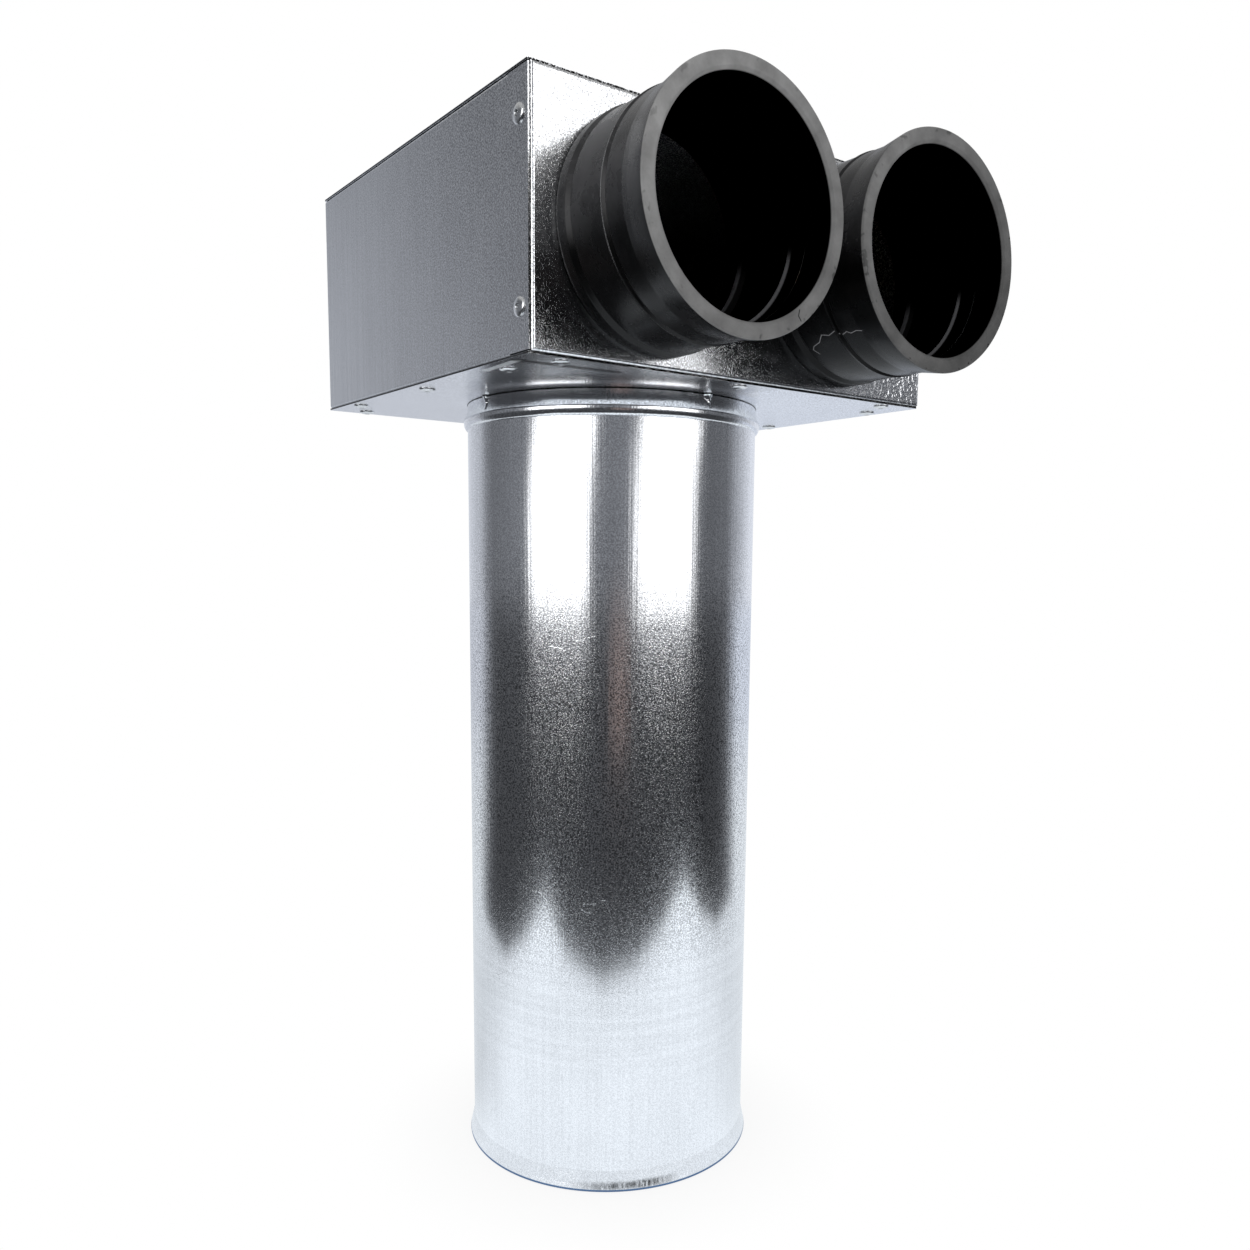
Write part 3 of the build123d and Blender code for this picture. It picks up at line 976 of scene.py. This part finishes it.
def windows(tree, turn):
    """1 in the directions of the two wide windows, left and right of the camera."""
    return round_ramp(tree, turn, [
        (-68, 0.0), (-58, 1.0), (-21, 1.0), (-13, 0.0), (15, 0.0), (29, 1.0), (62, 1.0), (73, 0.0),
    ])


def direction_and_height(tree):
    """The world's direction, and its height from -1 straight down to 1 straight up."""
    direction = node(tree, "ShaderNodeTexCoord").outputs["Generated"]
    return direction, axes(tree, direction)[2]


def room(tree):
    """What polished metal sees above the horizon: two windows, dark walls, grey ceiling.

    The windows lean a little to the right as they rise.
    """
    direction, height = direction_and_height(tree)
    turn = bearing(tree, direction)[0]
    wall = both(tree, walls(tree, turn), ranged(tree, height, 0.12, 0.38, 1.15, 0.80))
    leaned = total(tree, turn, ranged(tree, height, 0.07, 0.16, 0.0, -0.02))
    window_level = ranged(tree, height, 0.62, 0.42, 0.0, WINDOW_LEVEL)
    window_light = both(tree, windows(tree, leaned), window_level)
    lit = mixed(tree, 1.0, tinted(tree, COOL, wall), window_light, "ADD")
    ceiling = (CEILING_LEVEL,) * 3
    return mixed(tree, ranged(tree, height, 0.40, 0.60), lit, ceiling)


def white_world():
    """White for the camera, plain soft light for the object, the room for reflections."""
    world = bpy.data.worlds.new("studio")
    bpy.context.scene.world = world
    world.use_nodes = True
    tree = world.node_tree
    height = direction_and_height(tree)[1]
    upwards = ranged(tree, height, -1, 1, kind="LINEAR")
    plain = ramp(tree, upwards, [(0.0, 0.86), (0.5, 0.92), (1.0, 1.0)])
    light_path = node(tree, "ShaderNodeLightPath").outputs
    shown = mixed(tree, light_path["Is Glossy Ray"], plain, room(tree))
    shown = mixed(tree, light_path["Is Camera Ray"], shown, (1, 1, 1))
    tree.links.new(shown, tree.nodes["Background"].inputs["Color"])


def white_sheet(tree, turn, degrees, reach):
    """Level of the white sheet that the object stands on, dimmer far away and behind."""
    far = mixed(tree, ranged(tree, degrees, -10, 10), FAR_WHITE_LEFT, FAR_WHITE_RIGHT)
    sides = round_ramp(tree, turn, [(-106, 0.74), (-66, 1.0), (62, 1.0), (106, 0.81)])
    return mixed(tree, ranged(tree, reach, 0.4, 1.8), tinted(tree, NEAR_WHITE, sides), far)


def dark_floor(tree, turn, reach):
    """Level of the dark floor past the sheet, with a warm stripe towards the camera.

    With distance it takes on the light at the horizon by the share exp(-glare / distance).
    """
    dark = round_ramp(tree, turn, [
        (-112, 0.125), (-104, 0.10), (-98, 0.066), (-40, 0.064), (-10, 0.065), (40, 0.058),
        (84, 0.048), (98, 0.066), (104, 0.105), (112, 0.125),
    ])
    stripe = round_ramp(tree, turn, [(-1, 0.0), (5, 1.0), (12, 1.0), (19, 0.0)])
    stripe = both(tree, stripe, ranged(tree, reach, 0.9, 1.5))
    dark = mixed(tree, stripe, tinted(tree, COOL, dark), WARM_STRIPE)
    glare = maths(tree, "EXPONENT", maths(tree, "DIVIDE", -FLOOR_GLARE, reach))
    horizon = total(tree, walls(tree, turn), windows(tree, turn))
    return mixed(tree, glare, dark, tinted(tree, COOL, horizon))


def floor_finish():
    """White floor with the object's shadow; polished metal sees its sheet and dark floor.

    The sheet's edge lies nearer in some directions than in others, and behind the object
    the sheet goes on.
    """
    made, tree, shader = material("studio_floor")
    shader.inputs["Base Color"].default_value = (0.94, 0.94, 0.94, 1)
    shader.inputs["Roughness"].default_value = 0.9
    shader.inputs["Specular IOR Level"].default_value = 0.0
    place = object_place(tree)
    reach = vector_maths(tree, "LENGTH", place)
    turn, degrees = bearing(tree, place)
    edge = round_ramp(tree, turn, [
        (-128, 0.40), (-105, 0.34), (-84, 0.30), (-66, 0.345), (-47, 0.45), (-30, 0.335),
        (-4, 0.288), (20, 0.315), (42, 0.39), (60, 0.50), (76, 0.41), (92, 0.365), (112, 0.40),
    ])
    past_edge = ranged(tree, maths(tree, "SUBTRACT", reach, edge), -0.01, 0.03)
    in_front = ranged(tree, maths(tree, "ABSOLUTE", degrees), 128, 105)
    white = white_sheet(tree, turn, degrees, reach)
    dark = dark_floor(tree, turn, reach)
    seen = mixed(tree, both(tree, past_edge, in_front), white, dark)
    glow = node(tree, "ShaderNodeEmission", {"Color": seen}).outputs[0]
    clear = node(tree, "ShaderNodeEmission", {"Color": (1, 1, 1, 1)}).outputs[0]
    light_path = node(tree, "ShaderNodeLightPath").outputs
    clearness = ranged(tree, reach, 0.064, 0.12, 0.85, 1.0)
    cleared = both(tree, clearness, light_path["Is Camera Ray"])
    kind = "ShaderNodeMixShader"
    shown = node(tree, kind, {0: cleared, 1: shader.outputs[0], 2: clear}).outputs[0]
    shown = node(tree, kind, {0: light_path["Is Glossy Ray"], 1: shown, 2: glow}).outputs[0]
    tree.links.new(shown, tree.nodes["Material Output"].inputs["Surface"])
    return made


def floor():
    """Round white floor just under the neck's lip."""
    turn = np.linspace(0, 2 * math.pi, FLOOR_SIDES, endpoint=False)
    x, y = FLOOR_RADIUS * np.cos(turn), FLOOR_RADIUS * np.sin(turn)
    rim = np.stack([x, y, 0 * turn - FLOOR_DROP], axis=-1)
    mesh = bpy.data.meshes.new("floor")
    mesh.from_pydata(rim.tolist(), [], [list(range(FLOOR_SIDES))])
    mesh.materials.append(floor_finish())
    made = bpy.data.objects.new("floor", mesh)
    bpy.context.scene.collection.objects.link(made)


def photo_camera():
    """The photograph's camera, with its optical centre as the sensor's shift."""
    yaw, pitch, roll = (math.radians(a) for a in (CAMERA_YAW, CAMERA_PITCH, CAMERA_ROLL))
    ahead = math.cos(pitch)
    forward = Vector((math.sin(yaw) * ahead, math.cos(yaw) * ahead, math.sin(pitch)))
    level = Vector((math.cos(yaw), -math.sin(yaw), 0))
    upright = level.cross(forward)
    right = level * math.cos(roll) + upright * math.sin(roll)
    up = upright * math.cos(roll) - level * math.sin(roll)
    data = bpy.data.cameras.new("photo_camera")
    data.sensor_width = SENSOR
    data.lens = CAMERA_FOCAL / PHOTO_SIDE * SENSOR
    data.shift_x = (PHOTO_SIDE / 2 - OPTICAL_CENTRE[0]) / PHOTO_SIDE
    data.shift_y = (OPTICAL_CENTRE[1] - PHOTO_SIDE / 2) / PHOTO_SIDE
    data.clip_start = 0.01
    made = bpy.data.objects.new("photo_camera", data)
    turn = Matrix((right, up, -forward)).transposed().to_4x4()
    made.matrix_world = Matrix.Translation(CAMERA_PLACE) @ turn
    bpy.context.scene.collection.objects.link(made)
    bpy.context.scene.camera = made


def main():
    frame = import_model()
    nodes = frame["nodes"]

    box_low, box_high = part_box("wrap_panel")
    panel_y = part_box("front_panel")[0].y
    box_low.y = panel_y
    box_low.z, box_high.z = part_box("bottom_plate")[0].z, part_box("top_plate")[1].z
    socket_low, socket_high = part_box("socket_left")
    socket_middle = (socket_low + socket_high) / 2

    sheet = galvanised_sheet(box_low, box_high)
    tube = galvanised_tube(box_low.z)
    black = rubber(socket_middle.x, socket_middle.z, socket_low.y)
    aluminium = rivet_metal(box_low, box_high)

    for name in ("bottom_plate", "top_plate", "wrap_panel", "front_panel"):
        dress(nodes[name], sheet)
    add_neck(tube, box_low.z)
    for side in ("left", "right"):
        add_socket(side, black, panel_y)
    for name in sorted(n for n in nodes if n.startswith("rivet_")):
        add_rivet(name, aluminium)

    white_world()
    floor()
    photo_camera()
    bpy.context.scene.view_settings.view_transform = "Standard"


main()
